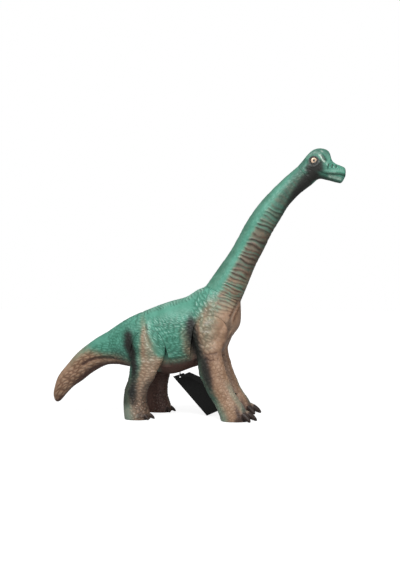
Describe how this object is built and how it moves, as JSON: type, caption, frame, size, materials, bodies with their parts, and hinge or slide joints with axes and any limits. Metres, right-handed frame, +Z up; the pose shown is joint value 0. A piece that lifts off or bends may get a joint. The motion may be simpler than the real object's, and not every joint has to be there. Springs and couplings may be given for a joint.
{
  "type": "toy dinosaur figure",
  "caption": "Long-necked toy dinosaur in hollow painted soft vinyl, standing on flat feet, with turning neck, head, tail and legs and a bare hanging card tag.",
  "frame": {"origin": "centre of the bounding box in plan, on the plane of the soles", "axes": "+X towards the head, +Y to the animal's left, +Z up; +X is forward"},
  "size_m": [0.4858, 0.1352, 0.437],
  "materials": {
    "teal_vinyl": "semi-gloss painted soft vinyl",
    "tan_vinyl": "semi-gloss painted soft vinyl",
    "spool": "smooth natural polypropylene",
    "eye": "glossy with a black pupil",
    "card": "black coated card, bare",
    "loop": "clear nylon"
  },
  "bodies": {
    "torso": {"torso_shell": "teal_vinyl", "tag_loop": "loop"},
    "neck": {"neck_shell": "teal_vinyl", "neck_spool": "spool"},
    "head": {"head_shell": "teal_vinyl", "head_spool": "spool", "right_eye": "eye", "left_eye": "eye"},
    "tail": {"tail_shell": "teal_vinyl", "tail_spool": "spool"},
    "right_front_leg": {"right_front_leg_shell": "tan_vinyl", "right_shoulder_spool": "spool"},
    "left_front_leg": {"left_front_leg_shell": "tan_vinyl", "left_shoulder_spool": "spool"},
    "right_hind_leg": {"right_hind_leg_shell": "tan_vinyl", "right_hip_spool": "spool"},
    "left_hind_leg": {"left_hind_leg_shell": "tan_vinyl", "left_hip_spool": "spool"},
    "tag": {"swing_tag": "card"}
  },
  "joints": [
    {"name": "neck_turn", "type": "hinge", "parent": "torso", "child": "neck", "pos_m": [0.0446, 0, 0.20189], "axis": [0.4279, 0, 0.9038], "range_deg": [-45, 45]},
    {"name": "head_turn", "type": "hinge", "parent": "neck", "child": "head", "pos_m": [0.1774, 0, 0.39369], "axis": [0.7915, 0, 0.6112], "range_deg": [-30, 30]},
    {"name": "tail_turn", "type": "hinge", "parent": "torso", "child": "tail", "pos_m": [-0.1378, 0, 0.11203], "axis": [-0.9563, 0, -0.2925], "range_deg": [-45, 45]},
    {"name": "right_shoulder_turn", "type": "hinge", "parent": "torso", "child": "right_front_leg", "pos_m": [0.02809, -0.03431, 0.13904], "axis": [0, -1, 0], "range_deg": [-10, 20]},
    {"name": "left_shoulder_turn", "type": "hinge", "parent": "torso", "child": "left_front_leg", "pos_m": [0.02809, 0.03431, 0.13904], "axis": [0, -1, 0], "range_deg": [-10, 20]},
    {"name": "right_hip_turn", "type": "hinge", "parent": "torso", "child": "right_hind_leg", "pos_m": [-0.0729, -0.03431, 0.11583], "axis": [0, -1, 0], "range_deg": [-12, 15]},
    {"name": "left_hip_turn", "type": "hinge", "parent": "torso", "child": "left_hind_leg", "pos_m": [-0.0729, 0.03431, 0.11583], "axis": [0, -1, 0], "range_deg": [-12, 12]},
    {"name": "tag_swing", "type": "hinge", "parent": "torso", "child": "tag", "pos_m": [-0.02764, 0, 0.06444], "axis": [1, 0, 0], "range_deg": [-12, 12]}
  ]
}
